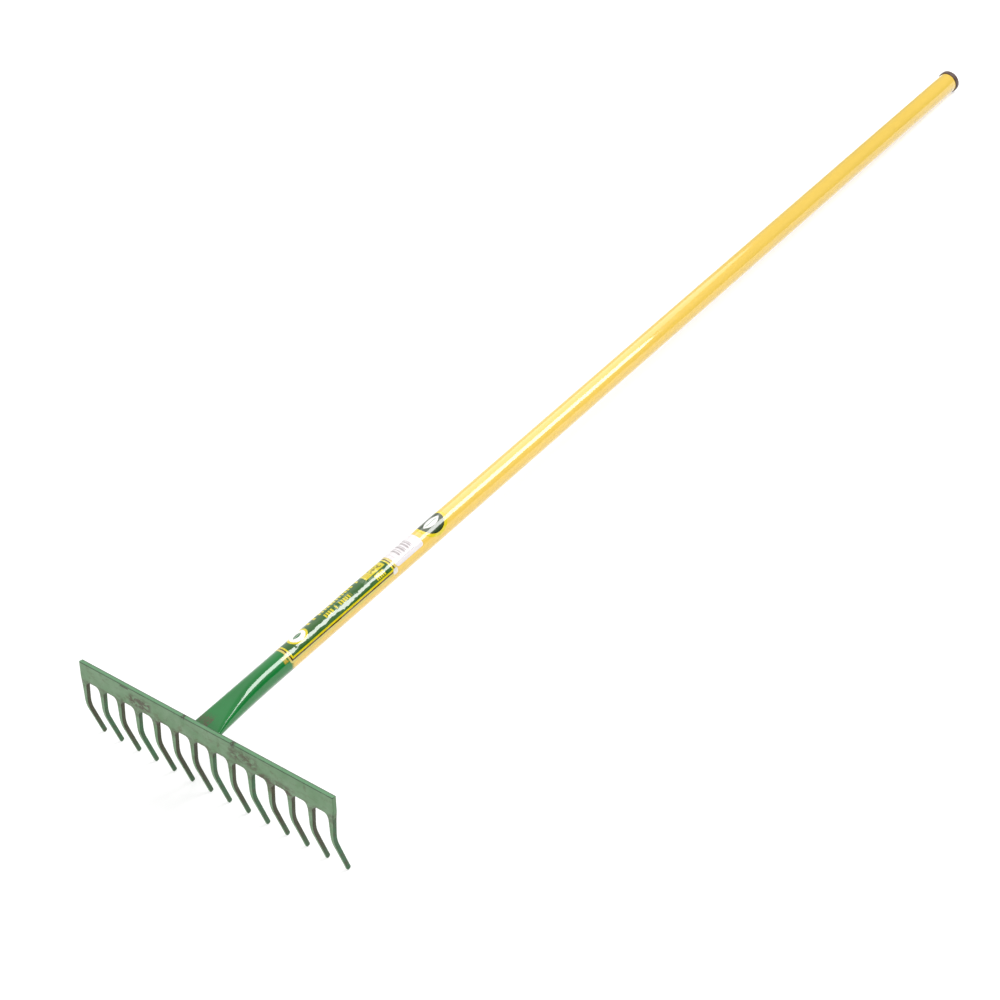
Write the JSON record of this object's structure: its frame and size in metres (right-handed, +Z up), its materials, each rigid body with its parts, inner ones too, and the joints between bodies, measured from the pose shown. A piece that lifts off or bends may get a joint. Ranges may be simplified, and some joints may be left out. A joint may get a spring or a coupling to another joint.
{
  "type": "garden rake",
  "caption": "Level-head garden rake: pressed steel comb with bent tapering teeth, welded to the flattened end of a straight steel tube handle with a plastic end plug.",
  "frame": {"origin": "bottom centre of the bounding box, on the floor that the tooth tips and the end plug rest on", "axes": "+X along the head, +Y from the head to the far end of the handle, +Z up from the floor"},
  "size_m": [0.4034, 1.4924, 0.1024],
  "materials": {
    "head_green": "satin green enamel over steel, scuffed",
    "handle_yellow": "gloss yellow enamel, green at the head end",
    "weld_green": "green enamel over a weld bead",
    "plug_brown": "matt dark brown plastic",
    "film_green": "gloss printed film",
    "paper_white": "satin white paper",
    "badge_green": "gloss printed film"
  },
  "bodies": {
    "root": {"rake_head": "head_green", "handle_tube": "handle_yellow", "weld_top": "weld_green", "weld_bottom": "weld_green", "end_plug": "plug_brown", "product_label": "film_green", "barcode_label": "paper_white", "round_badge": "badge_green"}
  },
  "joints": []
}
